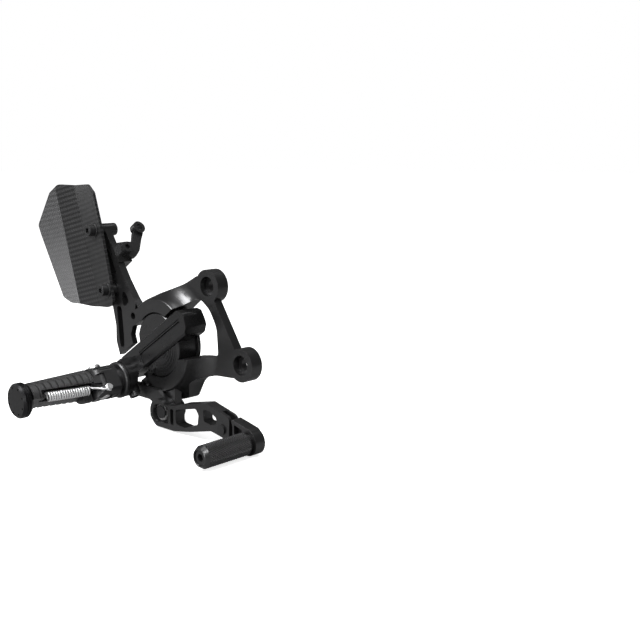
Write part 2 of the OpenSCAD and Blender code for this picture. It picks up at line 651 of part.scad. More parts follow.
// Small bracket with an eye, screwed to the front edge of the arm
arm_edge = -64.8;
bracket_y = -18.4;
bracket_z = disc_z + 83.5;
eye_y = 1.2;
eye_z = bracket_z + 17.3;
module x_slab(x_low, x_high) translate([x_low, 0, 0]) rotate([90, 0, 90]) linear_extrude(x_high - x_low) children();
module x_rod(r, x_low, x_high) translate([x_low, 0, 0]) rotate([0, 90, 0]) cylinder(r = r, h = x_high - x_low);
module switch_bracket() {
    color(black) leaned() difference() {
        union() {
            x_slab(arm_edge, arm_edge + 4) {
                smooth([[bracket_y - 4, bracket_z + 6, 1.5], [bracket_y + 4, bracket_z + 6.4, 2],
                    [bracket_y + 9.6, bracket_z + 5.4, 4],
                        [eye_y - 5, eye_z - 2, 2], [eye_y + 4.8, eye_z - 2, 2],
                            [eye_y - 1, eye_z - 10, 6], [bracket_y + 12.6, bracket_z - 2.6, 6],
                        [bracket_y + 7, bracket_z - 7.6, 3], [bracket_y + 1.4, bracket_z - 6.4, 3],
                            [bracket_y - 4, bracket_z - 3, 2]]);
                translate([eye_y, eye_z]) circle(r = 5.1);
            }
            translate([0, eye_y, eye_z]) x_rod(5.1, arm_edge, arm_edge + 6.4);
        }
        translate([0, eye_y, eye_z]) x_rod(2.55, arm_edge - 1, arm_edge + 20);
        translate([0, bracket_y, bracket_z]) x_rod(2.7, arm_edge - 1, arm_edge + 20);
    }
}
module bracket_screw() {
    color(graphite) leaned() translate([arm_edge + 4, bracket_y, bracket_z]) rotate([0, 0, 90])
        cap_screw(2.5, 13, 4.25, 4, 4, 2.4);
}

// Brake pedal, drawn in the leaned frame: hub, windowed arm and the fork for the toe link
tip = [hub[0] + pedal_l, hub[1] - 2.6];
toe_pivot = [tip[0] - 25.5, tip[1] + 4.2];
rod_front = hub_in - 5;
rod_back = hub_in;
rod_eye = [hub[0] - 38.5, hub[1] + 11];
pocket_floor = pedal_front + 4.4;
module pedal_outline() {
    smooth([[hub[0] - 9, hub[1] + 5, 4], [hub[0] + 20, hub[1] + 8.8, 8], [hub[0] + 28, hub[1] + 11.6, 8],
            [hub[0] + 55, hub[1] + 17.4, 2], [toe_pivot[0] + 8, toe_pivot[1] + 9.8, 4],
            [toe_pivot[0] + 7, toe_pivot[1] - 7, 4], [hub[0] + 60, hub[1] - 2, 4],
                [hub[0] + 36, hub[1] - 7.6, 10],
            [hub[0] + 18, hub[1] - 10.8, 10], [hub[0] - 4, hub[1] - 10.8, 6],
                [hub[0] - 10.6, hub[1] - 4, 6]]);
}
module brake_pedal() {
    color(black) difference() {
        union() {
            slab(pedal_front, pedal_back) pedal_outline();
            at(hub[0], hub[1]) y_rod(hub_r, pedal_front, hub_in);
            slab(rod_front, -ring_out - 0.4)
                smooth([[hub[0] + 5, hub[1] + 9, 3], [hub[0] - 6, rod_eye[1] + 4.4, 4],
                    [rod_eye[0], rod_eye[1] + 4.4, 1],
                        [rod_eye[0], rod_eye[1] - 4.4, 1], [hub[0] - 14, rod_eye[1] - 4.6, 6],
                        [hub[0] - 8, hub[1] - 4, 3], [hub[0] + 5, hub[1] - 4, 1]]);
            at(rod_eye[0], rod_eye[1]) y_rod(4.4, rod_front, rod_back);
        }
        at(rod_eye[0], rod_eye[1]) y_rod(2.5 + run_gap, -60, 0);
        // Two windows and a pocket beside the hub
        slab(-60, 0) smooth([[hub[0] + 20.5, hub[1] + 6, 2.5], [hub[0] + 43.5, hub[1] + 11.2, 2.5],
            [hub[0] + 46.5, hub[1] + 7, 2],
                             [hub[0] + 45, hub[1] - 1, 3], [hub[0] + 31, hub[1] - 5.6, 5],
                                 [hub[0] + 20, hub[1] - 4.8, 3]]);
        slab(-60, 0) smooth([[hub[0] + 51.6, hub[1] + 12.2, 2], [hub[0] + 58.6, hub[1] + 12.4, 2],
            [hub[0] + 65.8, hub[1] + 8.6, 2.5],
                             [hub[0] + 65.6, hub[1] + 4, 2], [hub[0] + 60, hub[1] + 2.6, 2],
                                 [hub[0] + 52, hub[1] + 3.6, 2]]);
        slab(pedal_front - 1, pocket_floor)
            smooth([[hub[0] - 6.6, hub[1] + 2.2, 2], [hub[0] - 4.5, hub[1] + 5.6, 2],
                [hub[0] + 11.5, hub[1] + 6.4, 2], [hub[0] + 11.5, hub[1] - 6.6, 2],
                    [hub[0] - 4, hub[1] - 7.4, 3], [hub[0] - 6.8, hub[1] - 3, 3]]);
        slab(pedal_front - 1, pedal_front + 3)
            smooth([[hub[0] + 14, hub[1] + 5.6, 1.5], [hub[0] + 17.6, hub[1] + 6, 1.5],
                [hub[0] + 17.6, hub[1] - 6.4, 1.5], [hub[0] + 14, hub[1] - 6.8, 1.5]]);
        at(hub[0], hub[1]) y_rod(pivot_r + 1.5 + run_gap, pedal_front - 1, hub_in + 1);
        // Fork slot for the toe link
        slab(pedal_front + 2.6, pedal_back - 2.2) {
            translate(toe_pivot) circle(r = 7.4);
            translate(toe_pivot + [-2, -20]) square([42, 60]);
            translate(toe_pivot + [-7.4, -20]) square([20, 20]);
        }
        at(toe_pivot[0], toe_pivot[1]) y_rod(2.5 + run_gap, -60, 0);
    }
}
module pedal_bushes() {
    color(bronze) at(hub[0], hub[1]) difference() {
        y_rod(pivot_r + 1.5, pocket_floor, hub_in - 0.1);
        y_rod(pivot_r + run_gap, -60, 0);
    }
}
module pivot_bolt() {
    color(graphite) at(hub[0], hub[1]) difference() {
        union() {
            y_rod(pivot_r, pocket_floor - 2.6, lug_back + nudge);
            y_rod(pivot_r + 2.6, lug_back, lug_back + 4);
        }
        slab(lug_back + 1.8, lug_back + 5) hex(5);
        translate([0, pocket_floor - 0.8, 0]) rotate([90, 0, 0]) rotate_extrude() translate([pivot_r - 0.6, 0]) square([2, 0.8]);
    }
}
module pivot_washer() {
    color(steel) at(hub[0], hub[1]) {
        difference() {
            y_rod(pivot_r + 1.5, pocket_floor - 0.7, pocket_floor - 0.1);
            y_rod(pivot_r + run_gap, -60, 0);
        }
        difference() {
            y_rod(pivot_r + 1.3, pocket_floor - 1.5, pocket_floor - 0.9);
            y_rod(pivot_r - 0.5, -60, 0);
            slab(-60, 0) translate([0, -2]) square([12, 4]);
        }
    }
}

// Bolt and nut left in the rear eye for the cylinder's push rod
module pushrod_bolt() {
    color(graphite) at(rod_eye[0], rod_eye[1]) difference() {
        union() {
            y_rod(2.5, rod_front - nudge, rod_back + 3.8);
            y_rod(3.6, rod_front - 1.2, rod_front);
        }
        slab(rod_front - 4, rod_front - 0.5) hex(3);
    }
}
module pushrod_nut() {
    color(steel) at(rod_eye[0], rod_eye[1]) difference() {
        slab(rod_back, rod_back + 3.4) hex(8);
        y_rod(2.5 + run_gap, -60, 0);
    }
}

// Toe link, hinged in the pedal fork and carrying the knurled toe peg
module toe_link() {
    color(black) difference() {
        union() {
            slab(pedal_front + 2.9, pedal_back - 2.5) {
                translate(toe_pivot) circle(r = 6.6);
                smooth([[toe_pivot[0] - 1, toe_pivot[1] + 6.2, 1],
                    [toe_pivot[0] + 9.4, toe_pivot[1] + 7.6, 1], [tip[0] - 4, tip[1] + 8.4, 2],
                        [tip[0] + 2, tip[1], 1], [tip[0] - 4, tip[1] - 8, 2],
                            [toe_pivot[0] + 2, toe_pivot[1] - 6.2, 1]]);
            }
            // Full width beyond the fork, with the ridge of the arm carried on
            slab(pedal_front, pedal_back)
                smooth([[toe_pivot[0] + 9.4, toe_pivot[1] + 9.3, 0.6], [tip[0] + 3, tip[1] + 9.4, 5],
                    [tip[0] + 8.6, tip[1] + 3, 4],
                        [tip[0] + 4, tip[1] - 8, 4], [tip[0] - 4, tip[1] - 8.4, 4],
                            [toe_pivot[0] + 11.4, toe_pivot[1] - 4.6, 3],
                        [toe_pivot[0] + 10.9, toe_pivot[1] - 0.5, 1],
                            [toe_pivot[0] + 10.9, toe_pivot[1] + 4, 1]]);
            at(tip[0], tip[1]) y_rod(9, pedal_front, pedal_back);
        }
        at(toe_pivot[0], toe_pivot[1]) y_rod(2.5 + run_gap, -60, 0);
        at(tip[0], tip[1]) y_rod(3 + run_gap, -60, 0);
        slab(pedal_front - 1, pedal_front + 4.4)
            smooth([[toe_pivot[0] + 12.4, toe_pivot[1] + 6.2, 1],
                [toe_pivot[0] + 22, toe_pivot[1] + 3.2, 1], [toe_pivot[0] + 15, toe_pivot[1] - 1, 2],
                    [toe_pivot[0] + 12.6, toe_pivot[1] - 1, 1]]);
    }
}
module toe_pin() {
    color(steel) at(toe_pivot[0], toe_pivot[1]) difference() {
        union() {
            y_rod(2.5, pedal_front - 0.4, pedal_back + 6.4);
            y_rod(3.6, pedal_front - 1.4, pedal_front - 0.3);
        }
        translate([0, pedal_back + 5.8, 0]) rotate([90, 0, 0]) rotate_extrude() translate([2, 0]) square([2, 0.7]);
    }
}
module toe_pin_clip() {
    color(steel) at(toe_pivot[0], toe_pivot[1]) difference() {
        y_rod(3.8, pedal_back + 5.15, pedal_back + 5.75);
        y_rod(2.03, -60, 0);
        slab(-60, 0) translate([0, -1.5]) square([6, 3]);
    }
}
toe_coils = 3;
function toe_path() = concat([[-13, pedal_back + 1, -2.4]],
    [for (i = [0 : toe_coils * 12]) [3.7 * cos(i * 30 - 90), pedal_back + 1 + 3.2 * i / (toe_coils * 12), 3.7 * sin(i * 30 - 90)]],
    [[9, pedal_back + 4.2, -4.4], [13.6, pedal_back + 4.2, -5]]);
module toe_spring() {
    color(steel) at(toe_pivot[0], toe_pivot[1]) wire(toe_path(), 0.5);
}
module toe_peg() {
    color(black) at(tip[0], tip[1]) difference() {
        y_lathe([[3 + run_gap, -pedal_front], [toe_r - 1.6, -pedal_front], [toe_r - 1.6, -pedal_front + 1.4],
                 [toe_r, -pedal_front + 2.4], [toe_r, -toe_y_out - 3.4], [toe_r - 1.6, -toe_y_out],
                 [5.2, -toe_y_out], [5.2, -toe_y_out - 7], [3 + run_gap, -toe_y_out - 7]]);
        for (i = [0 : 23]) rotate([0, i * 15, 0]) translate([toe_r + 0.35, 0, 0]) y_rod(0.7, toe_y_out + 4, pedal_front - 3);
    }
}
module toe_peg_screw() {
    color(graphite) at(tip[0], tip[1]) translate([0, toe_y_out + 7, 0])
        cap_screw(3, pedal_back - toe_y_out - 7.5, 5, 6, 5, 3.4);
}

base_plate();
adjuster_disc();
disc_flange();
disc_flange_screws();
disc_lock_screw();
disc_lock_nut();
carrier_bar();
bar_screws();
fork_set_screw();
peg_fork();
hinge_pin();
hinge_clip();
peg_barrel();
end_cap();
return_spring();
spring_post();
spring_cross_pin();
heel_guard();
guard_screws();
guard_spacers();
switch_bracket();
bracket_screw();
brake_pedal();
pedal_bushes();
pivot_bolt();
pivot_washer();
pushrod_bolt();
pushrod_nut();
toe_link();
toe_pin();
toe_pin_clip();
toe_spring();
toe_peg();
toe_peg_screw();
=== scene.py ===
"""Looks of an adjustable rear set: footrest, sliding bar, heel guard and brake pedal."""
import json
import logging
import math
from dataclasses import dataclass, field
from enum import Enum

import bmesh
import bpy
from mathutils import Matrix, Vector


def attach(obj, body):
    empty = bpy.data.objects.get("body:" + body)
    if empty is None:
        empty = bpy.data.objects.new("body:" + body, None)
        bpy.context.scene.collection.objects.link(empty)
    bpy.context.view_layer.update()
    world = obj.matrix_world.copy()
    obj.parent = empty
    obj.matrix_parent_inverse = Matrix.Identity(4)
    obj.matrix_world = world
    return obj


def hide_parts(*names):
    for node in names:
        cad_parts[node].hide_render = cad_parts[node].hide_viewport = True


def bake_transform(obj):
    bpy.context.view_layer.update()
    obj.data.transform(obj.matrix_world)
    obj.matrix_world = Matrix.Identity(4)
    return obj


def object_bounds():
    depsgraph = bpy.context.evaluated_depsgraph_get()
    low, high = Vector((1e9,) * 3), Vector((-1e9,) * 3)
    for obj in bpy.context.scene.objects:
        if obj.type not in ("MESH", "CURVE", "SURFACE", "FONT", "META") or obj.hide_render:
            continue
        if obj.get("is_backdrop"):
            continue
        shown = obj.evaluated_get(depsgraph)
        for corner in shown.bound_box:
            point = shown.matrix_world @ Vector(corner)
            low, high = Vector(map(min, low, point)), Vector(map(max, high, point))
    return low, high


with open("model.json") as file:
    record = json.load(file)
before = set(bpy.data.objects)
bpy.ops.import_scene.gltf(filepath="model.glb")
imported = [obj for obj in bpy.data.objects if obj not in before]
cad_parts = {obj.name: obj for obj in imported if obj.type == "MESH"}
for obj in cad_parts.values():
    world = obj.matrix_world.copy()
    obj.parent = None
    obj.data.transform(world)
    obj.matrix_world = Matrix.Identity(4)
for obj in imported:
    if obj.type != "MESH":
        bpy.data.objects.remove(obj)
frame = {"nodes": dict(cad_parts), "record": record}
log = logging.getLogger("rear_set")
logging.basicConfig(level=logging.INFO, format="%(name)s: %(message)s")

MM = 0.001
LEAN = math.radians(33.0)
PLATE_TO_ROW = Matrix.Rotation(-LEAN, 4, "Y") @ Matrix.Scale(MM, 4)
MERGE_DISTANCE = 2e-6
FLAT_ANGLE = math.radians(0.6)
EDGE_SEGMENTS = 2
WIRE_SIDES = 10
PATH_STEPS = 5
FLOOR_GAP = 0.0006


def leaned(x: float, y: float, z: float) -> Vector:
    """Turn a place in the plate's own upright frame into the row frame.

    Args:
        x: Forward, in millimetres.
        y: Inward, in millimetres.
        z: Up along the bolt line, in millimetres.

    Returns:
        The same point in the row frame, in metres.
    """
    return PLATE_TO_ROW @ Vector((x, y, z))


class Pattern(Enum):
    """How a finish is worked."""

    BLASTED = "fine blasted and anodised"
    MILLED = "blasted, with the turning marks left on its slopes"
    TURNED = "turned in rings about an axis along Y"
    BRUSHED = "brushed along the bar"
    KNURLED = "cross knurled about an axis along Y"
    DRAWN = "drawn or rolled bright"
    TWILL = "woven two over two"


@dataclass(frozen=True)
class Marks:
    """Marks that a way of working leaves.

    Args:
        strength: Strength of the bump.
        depth: Distance of the bump, in metres.
        pitch: Distance from mark to mark, in metres, where they repeat.
    """

    strength: float
    depth: float
    pitch: float = 0.0


MARKS: dict[Pattern, Marks] = {
    Pattern.BLASTED: Marks(0.10, 0.00002),
    Pattern.MILLED: Marks(0.35, 0.00003, 0.0009),
    Pattern.TURNED: Marks(0.35, 0.00003, 0.00055),
    Pattern.BRUSHED: Marks(0.22, 0.00003),
    Pattern.KNURLED: Marks(0.55, 0.00012, 0.0016),
    Pattern.DRAWN: Marks(0.05, 0.00001),
    Pattern.TWILL: Marks(0.2, 0.00005, 0.0013),
}


@dataclass(frozen=True)
class Finish:
    """One surface finish.

    Args:
        name: Name of the material.
        colour: Base colour, linear.
        metal: Metallic amount.
        rough: Middle roughness.
        pattern: How the surface is worked.
        centre: Place of the axis, in metres, for rings and knurls.
        coat: Weight of the clear coat.
    """

    name: str
    colour: tuple[float, float, float]
    metal: float
    rough: float
    pattern: Pattern = Pattern.BLASTED
    centre: tuple[float, float, float] = (0.0, 0.0, 0.0)
    coat: float = 0.0


class Nodes:
    """Short way to add and join nodes of a shader or geometry tree."""

    def __init__(self, tree: bpy.types.NodeTree) -> None:
        """Keep the tree that is built."""
        self.tree = tree

    def add(
        self, kind: str, values: dict[str, object] | None = None, **attributes: object
    ) -> bpy.types.Node:
        """Add a node, set its attributes and its inputs.

        Args:
            kind: Blender's identifier of the node.
            values: Value or socket for each named input.
            **attributes: Attributes to set on it.

        Returns:
            The new node.
        """
        node = self.tree.nodes.new(kind)
        for key, value in attributes.items():
            setattr(node, key, value)
        for key, value in (values or {}).items():
            self.put(node.inputs[key], value)
        return node

    def put(self, socket: bpy.types.NodeSocket, value: object) -> None:
        """Set an input to a value, or join an output to it."""
        if isinstance(value, bpy.types.NodeSocket):
            self.tree.links.new(value, socket)
        else:
            socket.default_value = value

    def join(self, out: bpy.types.NodeSocket, into: bpy.types.NodeSocket) -> None:
        """Join an output to an input."""
        self.tree.links.new(out, into)

    def math(
        self, operation: str, a: object, b: object = None, c: object = None
    ) -> bpy.types.NodeSocket:
        """Add a Math node.

        Args:
            operation: Name of the operation.
            a: First value or socket.
            b: Second value or socket.
            c: Third value or socket.

        Returns:
            The node's output.
        """
        node = self.add("ShaderNodeMath", operation=operation)
        for i, value in enumerate((a, b, c)):
            if value is not None:
                self.put(node.inputs[i], value)
        return node.outputs[0]


class Finisher:
    """Builds each finish once as a node material.

    The constants are the roughness of the clear coat, the scales of the spots, the grain and the
    clouds, the spread of roughness and colour over them, the painted shade and painted sheen of the
    weave's tows, the part of a normal along Y above which a face counts as flat, the knurls around
    a barrel, the stretch of brushed lines and the lay of the weave.
    """

    COAT_ROUGH = 0.22
    SPOT_SCALE = 38.0
    GRAIN_SCALE = 2600.0
    CLOUD_SCALE = 60.0
    ROUGH_SPREAD = 0.12
    DARKER, LIGHTER = 0.8, 1.25
    # Painted shade and painted sheen: the two ends of the tows' colour, as parts of the weave's own
    # colour.
    TOW_DARKER, TOW_LIGHTER = 0.6, 1.5
    FLAT_NORMAL = 0.97
    KNURLS_AROUND = 44.0
    BRUSH_STRETCH = (40.0, 1800.0, 1800.0)
    WEAVE_LAY = math.radians(28.0)

    def __init__(self) -> None:
        """Start with no materials."""
        self.made: dict[str, bpy.types.Material] = {}

    def get(self, finish: Finish) -> bpy.types.Material:
        """Return the material of a finish, built on first use."""
        if finish.name not in self.made:
            self.made[finish.name] = self.build(finish)
        return self.made[finish.name]

    def build(self, finish: Finish) -> bpy.types.Material:
        """Build a node material.

        Args:
            finish: What to build.

        Returns:
            The new material.
        """
        material = bpy.data.materials.new(finish.name)
        material.use_nodes = True
        material.node_tree.nodes.clear()
        n = Nodes(material.node_tree)
        out = n.add("ShaderNodeOutputMaterial")
        shader = n.add("ShaderNodeBsdfPrincipled")
        n.join(shader.outputs["BSDF"], out.inputs["Surface"])
        shader.inputs["Metallic"].default_value = finish.metal
        shader.inputs["Coat Weight"].default_value = finish.coat
        shader.inputs["Coat Roughness"].default_value = self.COAT_ROUGH
        coords = n.add("ShaderNodeTexCoord")
        if finish.pattern is Pattern.TWILL:
            self._twill(n, coords, shader, finish)
        else:
            self._metal(n, coords, shader, finish)
        material.diffuse_color = (*finish.colour, 1.0)
        return material

    def _metal(
        self, n: Nodes, coords: bpy.types.Node, shader: bpy.types.Node, finish: Finish
    ) -> None:
        """Give a metal its marks, with colour and roughness that wander a little."""
        place = n.add("ShaderNodeMapping", {"Vector": coords.outputs["Object"]})
        place.inputs["Location"].default_value = tuple(-v for v in finish.centre)
        spots = n.add("ShaderNodeTexNoise", {
            "Vector": place.outputs["Vector"], "Scale": self.SPOT_SCALE, "Detail": 4.0,
        })
        grain = n.add("ShaderNodeTexNoise", {
            "Vector": place.outputs["Vector"], "Scale": self.GRAIN_SCALE, "Detail": 2.0,
        })
        tint = n.add("ShaderNodeMix", data_type="RGBA")
        low = tuple(c * self.DARKER for c in finish.colour)
        high = tuple(min(1.0, c * self.LIGHTER) for c in finish.colour)
        tint.inputs["A"].default_value = (*low, 1.0)
        tint.inputs["B"].default_value = (*high, 1.0)
        n.join(spots.outputs["Fac"], tint.inputs["Factor"])
        n.join(tint.outputs["Result"], shader.inputs["Base Color"])
        smoothest = finish.rough - self.ROUGH_SPREAD / 2.0
        rough = n.math("MULTIPLY_ADD", spots.outputs["Fac"], self.ROUGH_SPREAD, smoothest)
        n.join(rough, shader.inputs["Roughness"])
        marks = MARKS[finish.pattern]
        height = grain.outputs["Fac"]
        if finish.pattern in (Pattern.TURNED, Pattern.MILLED, Pattern.KNURLED):
            split = n.add("ShaderNodeSeparateXYZ", {"Vector": place.outputs["Vector"]})
            x, y, z = (split.outputs[axis] for axis in "XYZ")
        if finish.pattern in (Pattern.TURNED, Pattern.MILLED):
            squares = n.math("ADD", n.math("MULTIPLY", x, x), n.math("MULTIPLY", z, z))
            radius = n.math("SQRT", squares)
            ring = n.math("SINE", n.math("MULTIPLY", radius, math.tau / marks.pitch))
            if finish.pattern is Pattern.MILLED:
                normal = n.add("ShaderNodeSeparateXYZ", {"Vector": coords.outputs["Normal"]})
                facing = n.math("ABSOLUTE", normal.outputs["Y"])
                sloped = n.math("LESS_THAN", facing, self.FLAT_NORMAL)
                ring = n.math("MULTIPLY", ring, sloped)
            height = n.math("MULTIPLY_ADD", ring, 0.5, grain.outputs["Fac"])
        elif finish.pattern is Pattern.KNURLED:
            angle = n.math("MULTIPLY", n.math("ARCTAN2", x, z), self.KNURLS_AROUND)
            along = n.math("MULTIPLY", y, math.tau / marks.pitch)
            one = n.math("SINE", n.math("ADD", angle, along))
            two = n.math("SINE", n.math("SUBTRACT", angle, along))
            height = n.math("MAXIMUM", one, two)
        elif finish.pattern is Pattern.BRUSHED:
            turn = n.add("ShaderNodeMapping", {"Vector": coords.outputs["Object"]})
            turn.inputs["Rotation"].default_value = (0.0, LEAN, 0.0)
            stretch = n.add("ShaderNodeMapping", {"Vector": turn.outputs["Vector"]})
            stretch.inputs["Scale"].default_value = self.BRUSH_STRETCH
            lines = n.add("ShaderNodeTexNoise", {
                "Vector": stretch.outputs["Vector"], "Scale": 1.0, "Detail": 3.0,
            })
            height = lines.outputs["Fac"]
        bump = n.add("ShaderNodeBump", {
            "Strength": marks.strength, "Distance": marks.depth, "Height": height,
        })
        n.join(bump.outputs["Normal"], shader.inputs["Normal"])

    def _twill(
        self, n: Nodes, coords: bpy.types.Node, shader: bpy.types.Node, finish: Finish
    ) -> None:
        """Weave two over two, with painted sheen and painted shade in the tows' colour, by lay and
        along each crown.
        """
        marks = MARKS[finish.pattern]
        turn = n.add("ShaderNodeMapping", {"Vector": coords.outputs["Object"]})
        turn.inputs["Rotation"].default_value = (0.0, LEAN + self.WEAVE_LAY, 0.0)
        turn.inputs["Scale"].default_value = (1.0 / marks.pitch,) * 3
        split = n.add("ShaderNodeSeparateXYZ", {"Vector": turn.outputs["Vector"]})
        u, v = split.outputs["X"], split.outputs["Z"]
        step = n.math("ADD", n.math("FLOOR", u), n.math("FLOOR", v))
        over = n.math("LESS_THAN", n.math("MODULO", n.math("ADD", step, 4000.0), 4.0), 1.5)
        ridge_u = n.math("SINE", n.math("MULTIPLY", n.math("FRACT", u), math.pi))
        ridge_v = n.math("SINE", n.math("MULTIPLY", n.math("FRACT", v), math.pi))
        blend = n.add("ShaderNodeMix", {"Factor": over}, data_type="FLOAT")
        n.join(ridge_u, blend.inputs["A"])
        n.join(ridge_v, blend.inputs["B"])
        cloud = n.add("ShaderNodeTexNoise", {
            "Vector": coords.outputs["Object"], "Scale": self.CLOUD_SCALE,
        })
        tint = n.add("ShaderNodeMix", data_type="RGBA")
        low = tuple(c * self.TOW_DARKER for c in finish.colour)
        high = tuple(min(1.0, c * self.TOW_LIGHTER) for c in finish.colour)
        tint.inputs["A"].default_value = (*low, 1.0)
        tint.inputs["B"].default_value = (*high, 1.0)
        # Painted sheen by lay: tows that lie over get a factor of 0.85, the others 0.4, so one lay
        # is painted lighter.
        tow_sheen_by_lay = n.math("MULTIPLY_ADD", over, 0.45, 0.4)
        light = n.math("MULTIPLY", tow_sheen_by_lay, n.math("ADD", cloud.outputs["Fac"], 0.5))
        # The colour's factor is painted sheen and shade: by lay, varied in random clouds, and
        # painted lighter along each tow's crown than at its edges.
        n.join(n.math("MULTIPLY", light, blend.outputs["Result"]), tint.inputs["Factor"])
        n.join(tint.outputs["Result"], shader.inputs["Base Color"])
        n.join(n.math("MULTIPLY_ADD", over, 0.1, finish.rough), shader.inputs["Roughness"])
        bump = n.add("ShaderNodeBump", {
            "Strength": marks.strength, "Distance": marks.depth, "Height": blend.outputs["Result"],
        })
        n.join(bump.outputs["Normal"], shader.inputs["Normal"])


DISC_CENTRE = tuple(leaned(-59.0, -26.0, 14.5))
PEG_CENTRE = tuple(leaned(-94.0, -44.0, 4.5))
ANODISED = Finish("black_anodised", (0.055, 0.055, 0.056), 0.9, 0.32)
MILLED = Finish("milled_black", (0.055, 0.055, 0.056), 0.9, 0.3, Pattern.MILLED, DISC_CENTRE)
TURNED = Finish("turned_black", (0.05, 0.05, 0.051), 0.9, 0.28, Pattern.TURNED, DISC_CENTRE)
PEG_BLACK = Finish("peg_black", (0.05, 0.05, 0.051), 0.85, 0.32)
CAP_BLACK = Finish("cap_black", (0.018, 0.018, 0.019), 0.95, 0.34)
KNURL_BLACK = Finish(
    "knurled_black", (0.055, 0.055, 0.056), 0.85, 0.36, Pattern.KNURLED, PEG_CENTRE
)
BRUSHED = Finish("brushed_black", (0.04, 0.04, 0.041), 0.9, 0.28, Pattern.BRUSHED)
OXIDE = Finish("black_oxide", (0.03, 0.03, 0.031), 0.7, 0.34, Pattern.DRAWN)
BRIGHT = Finish("bright_steel", (0.84, 0.84, 0.85), 1.0, 0.34, Pattern.DRAWN)
ZINC = Finish("zinc_steel", (0.5, 0.5, 0.5), 1.0, 0.36, Pattern.DRAWN)
BRONZE = Finish("bearing_bronze", (0.45, 0.3, 0.13), 1.0, 0.35, Pattern.DRAWN)
WEAVE = Finish("carbon_weave", (0.045, 0.045, 0.046), 0.8, 0.34, Pattern.TWILL, coat=0.1)

NODE_FINISH: dict[str, Finish] = {
    "base_plate": MILLED, "switch_bracket": ANODISED, "bracket_screw": OXIDE,
    "heel_guard": WEAVE, "guard_screws": OXIDE, "guard_spacers": ANODISED,
    "adjuster_disc": TURNED, "disc_flange": TURNED, "disc_flange_screws": OXIDE,
    "disc_lock_screw": OXIDE, "disc_lock_nut": OXIDE,
    "carrier_bar": BRUSHED, "bar_screws": OXIDE, "fork_set_screw": OXIDE,
    "peg_fork": PEG_BLACK, "hinge_pin": BRIGHT, "hinge_clip": BRIGHT,
    "peg_barrel": KNURL_BLACK, "end_cap": CAP_BLACK,
    "return_spring": BRIGHT, "spring_post": BRIGHT, "spring_cross_pin": OXIDE,
    "brake_pedal": ANODISED, "pedal_bushes": BRONZE, "pivot_bolt": OXIDE, "pivot_washer": ZINC,
    "pushrod_bolt": OXIDE, "pushrod_nut": ZINC,
    "toe_link": ANODISED, "toe_pin": OXIDE, "toe_pin_clip": ZINC, "toe_spring": BRIGHT,
    "toe_peg": ANODISED, "toe_peg_screw": OXIDE,
}
BODY_OF: dict[str, str] = {
    node: body for body, nodes in frame["record"]["behaviour"]["bodies"].items() for node in nodes
}


def new_piece(name: str, mesh: bpy.types.Mesh, material: bpy.types.Material) -> bpy.types.Object:
    """Make an object at the origin from a finished mesh.

    Args:
        name: Name of the piece.
        mesh: Mesh in the row frame, in metres.
        material: Material for all of it.

    Returns:
        The new object.
    """
    piece = bpy.data.objects.new(name, mesh)
    bpy.context.scene.collection.objects.link(piece)
    mesh.materials.clear()
    mesh.materials.append(material)
    return piece


def baked(piece: bpy.types.Object) -> bpy.types.Object:
    """Turn a piece with modifiers into one plain mesh."""
    bpy.context.view_layer.update()
    graph = bpy.context.evaluated_depsgraph_get()
    mesh = bpy.data.meshes.new_from_object(piece.evaluated_get(graph))
    piece.modifiers.clear()
    piece.data = mesh
    return piece


def grow(piece: bpy.types.Object, tree: bpy.types.NodeTree, values: dict[str, object]) -> None:
    """Run a Geometry Nodes tree on a piece and keep the plain mesh, with no modifier.

    Args:
        piece: Object whose mesh is the tree's input.
        tree: The node tree.
        values: Value of each named input.
    """
    modifier = piece.modifiers.new(tree.name, "NODES")
    modifier.node_group = tree
    for item in tree.interface.items_tree:
        if item.item_type == "SOCKET" and item.in_out == "INPUT" and item.name in values:
            modifier[item.identifier] = values[item.name]
    baked(piece)


def geometry_tree(
    name: str, inputs: dict[str, str]
) -> tuple[Nodes, bpy.types.Node, bpy.types.Node]:
    """Start a Geometry Nodes tree with named inputs.

    Args:
        name: Name of the tree.
        inputs: Kind of socket for each named input.

    Returns:
        The tree's nodes, its input node and its output node.
    """
    tree = bpy.data.node_groups.new(name, "GeometryNodeTree")
    tree.interface.new_socket("Geometry", in_out="INPUT", socket_type="NodeSocketGeometry")
    for label, kind in inputs.items():
        tree.interface.new_socket(label, in_out="INPUT", socket_type=f"NodeSocket{kind}")
    tree.interface.new_socket("Geometry", in_out="OUTPUT", socket_type="NodeSocketGeometry")
    n = Nodes(tree)
    return n, n.add("NodeGroupInput"), n.add("NodeGroupOutput")


def end_tree(
    n: Nodes, start: bpy.types.Node, end: bpy.types.Node, geometry: bpy.types.NodeSocket
) -> None:
    """Close a tree with real instances and one material."""
    real = n.add("GeometryNodeRealizeInstances", {"Geometry": geometry})
    last = n.add("GeometryNodeSetMaterial", {
        "Geometry": real.outputs[0], "Material": start.outputs["Material"],
    })
    n.join(last.outputs[0], end.inputs[0])


